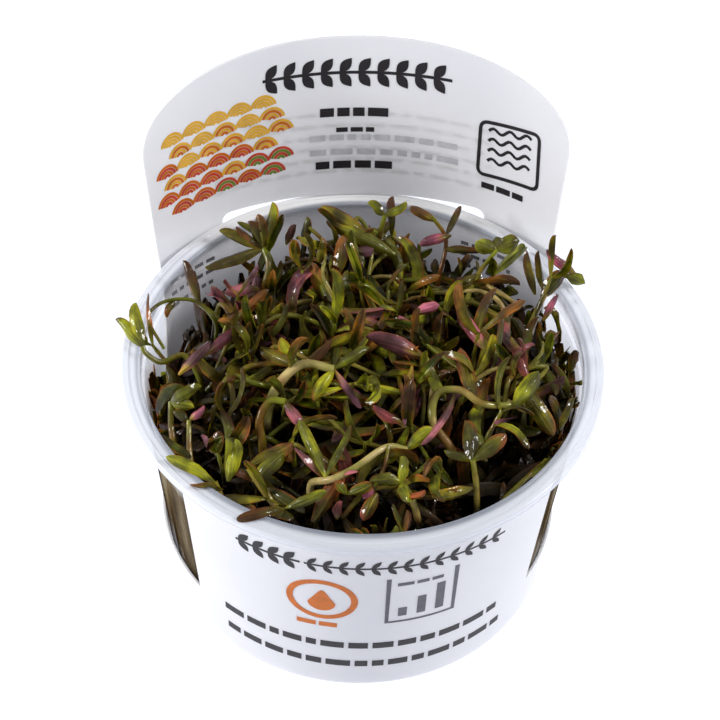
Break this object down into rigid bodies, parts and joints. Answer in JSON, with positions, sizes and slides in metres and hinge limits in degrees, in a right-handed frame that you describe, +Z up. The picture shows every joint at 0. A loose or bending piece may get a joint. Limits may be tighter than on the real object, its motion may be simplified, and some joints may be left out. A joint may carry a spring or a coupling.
{
  "type": "potted aquarium stem plant",
  "caption": "Clear cup packed with short stem plants, in a white label sleeve with a side flap and a tall curved back panel.",
  "frame": {"origin": "centre of the cup's flat base, on the surface that it stands on", "axes": "+Z up the cup's axis, +Y towards the tall back panel, so -Y is the front flap"},
  "size_m": [0.096, 0.102, 0.0912],
  "materials": {
    "clear_plastic": "clear, slightly milky, smooth",
    "white_label": "satin white coated sheet",
    "dark_foliage": "wet, shaded leaves and stems",
    "olive_leaf": "wet leaf, glossy",
    "green_leaf": "wet leaf, glossy",
    "lime_leaf": "wet leaf, glossy",
    "red_leaf": "wet leaf, glossy"
  },
  "bodies": {
    "root": {"cup": "clear_plastic", "label_sleeve": "white_label", "stem_tangle": "dark_foliage", "shoot_01": "green_leaf", "shoot_02": "olive_leaf", "shoot_03": "green_leaf", "shoot_04": "olive_leaf", "shoot_05": "green_leaf", "shoot_06": "lime_leaf", "shoot_07": "green_leaf", "shoot_08": "olive_leaf", "shoot_09": "red_leaf", "shoot_10": "olive_leaf", "shoot_11": "green_leaf", "shoot_12": "olive_leaf", "shoot_13": "green_leaf", "shoot_14": "olive_leaf", "shoot_15": "green_leaf", "shoot_16": "olive_leaf", "shoot_17": "green_leaf", "shoot_18": "lime_leaf", "shoot_19": "green_leaf", "shoot_20": "olive_leaf", "shoot_21": "red_leaf", "shoot_22": "olive_leaf", "shoot_23": "green_leaf", "shoot_24": "olive_leaf", "shoot_25": "green_leaf", "shoot_26": "olive_leaf", "shoot_27": "green_leaf", "shoot_28": "olive_leaf", "shoot_29": "green_leaf", "shoot_30": "lime_leaf", "shoot_31": "green_leaf", "shoot_32": "olive_leaf", "shoot_33": "red_leaf", "shoot_34": "olive_leaf", "shoot_35": "green_leaf", "shoot_36": "olive_leaf"}
  },
  "joints": []
}
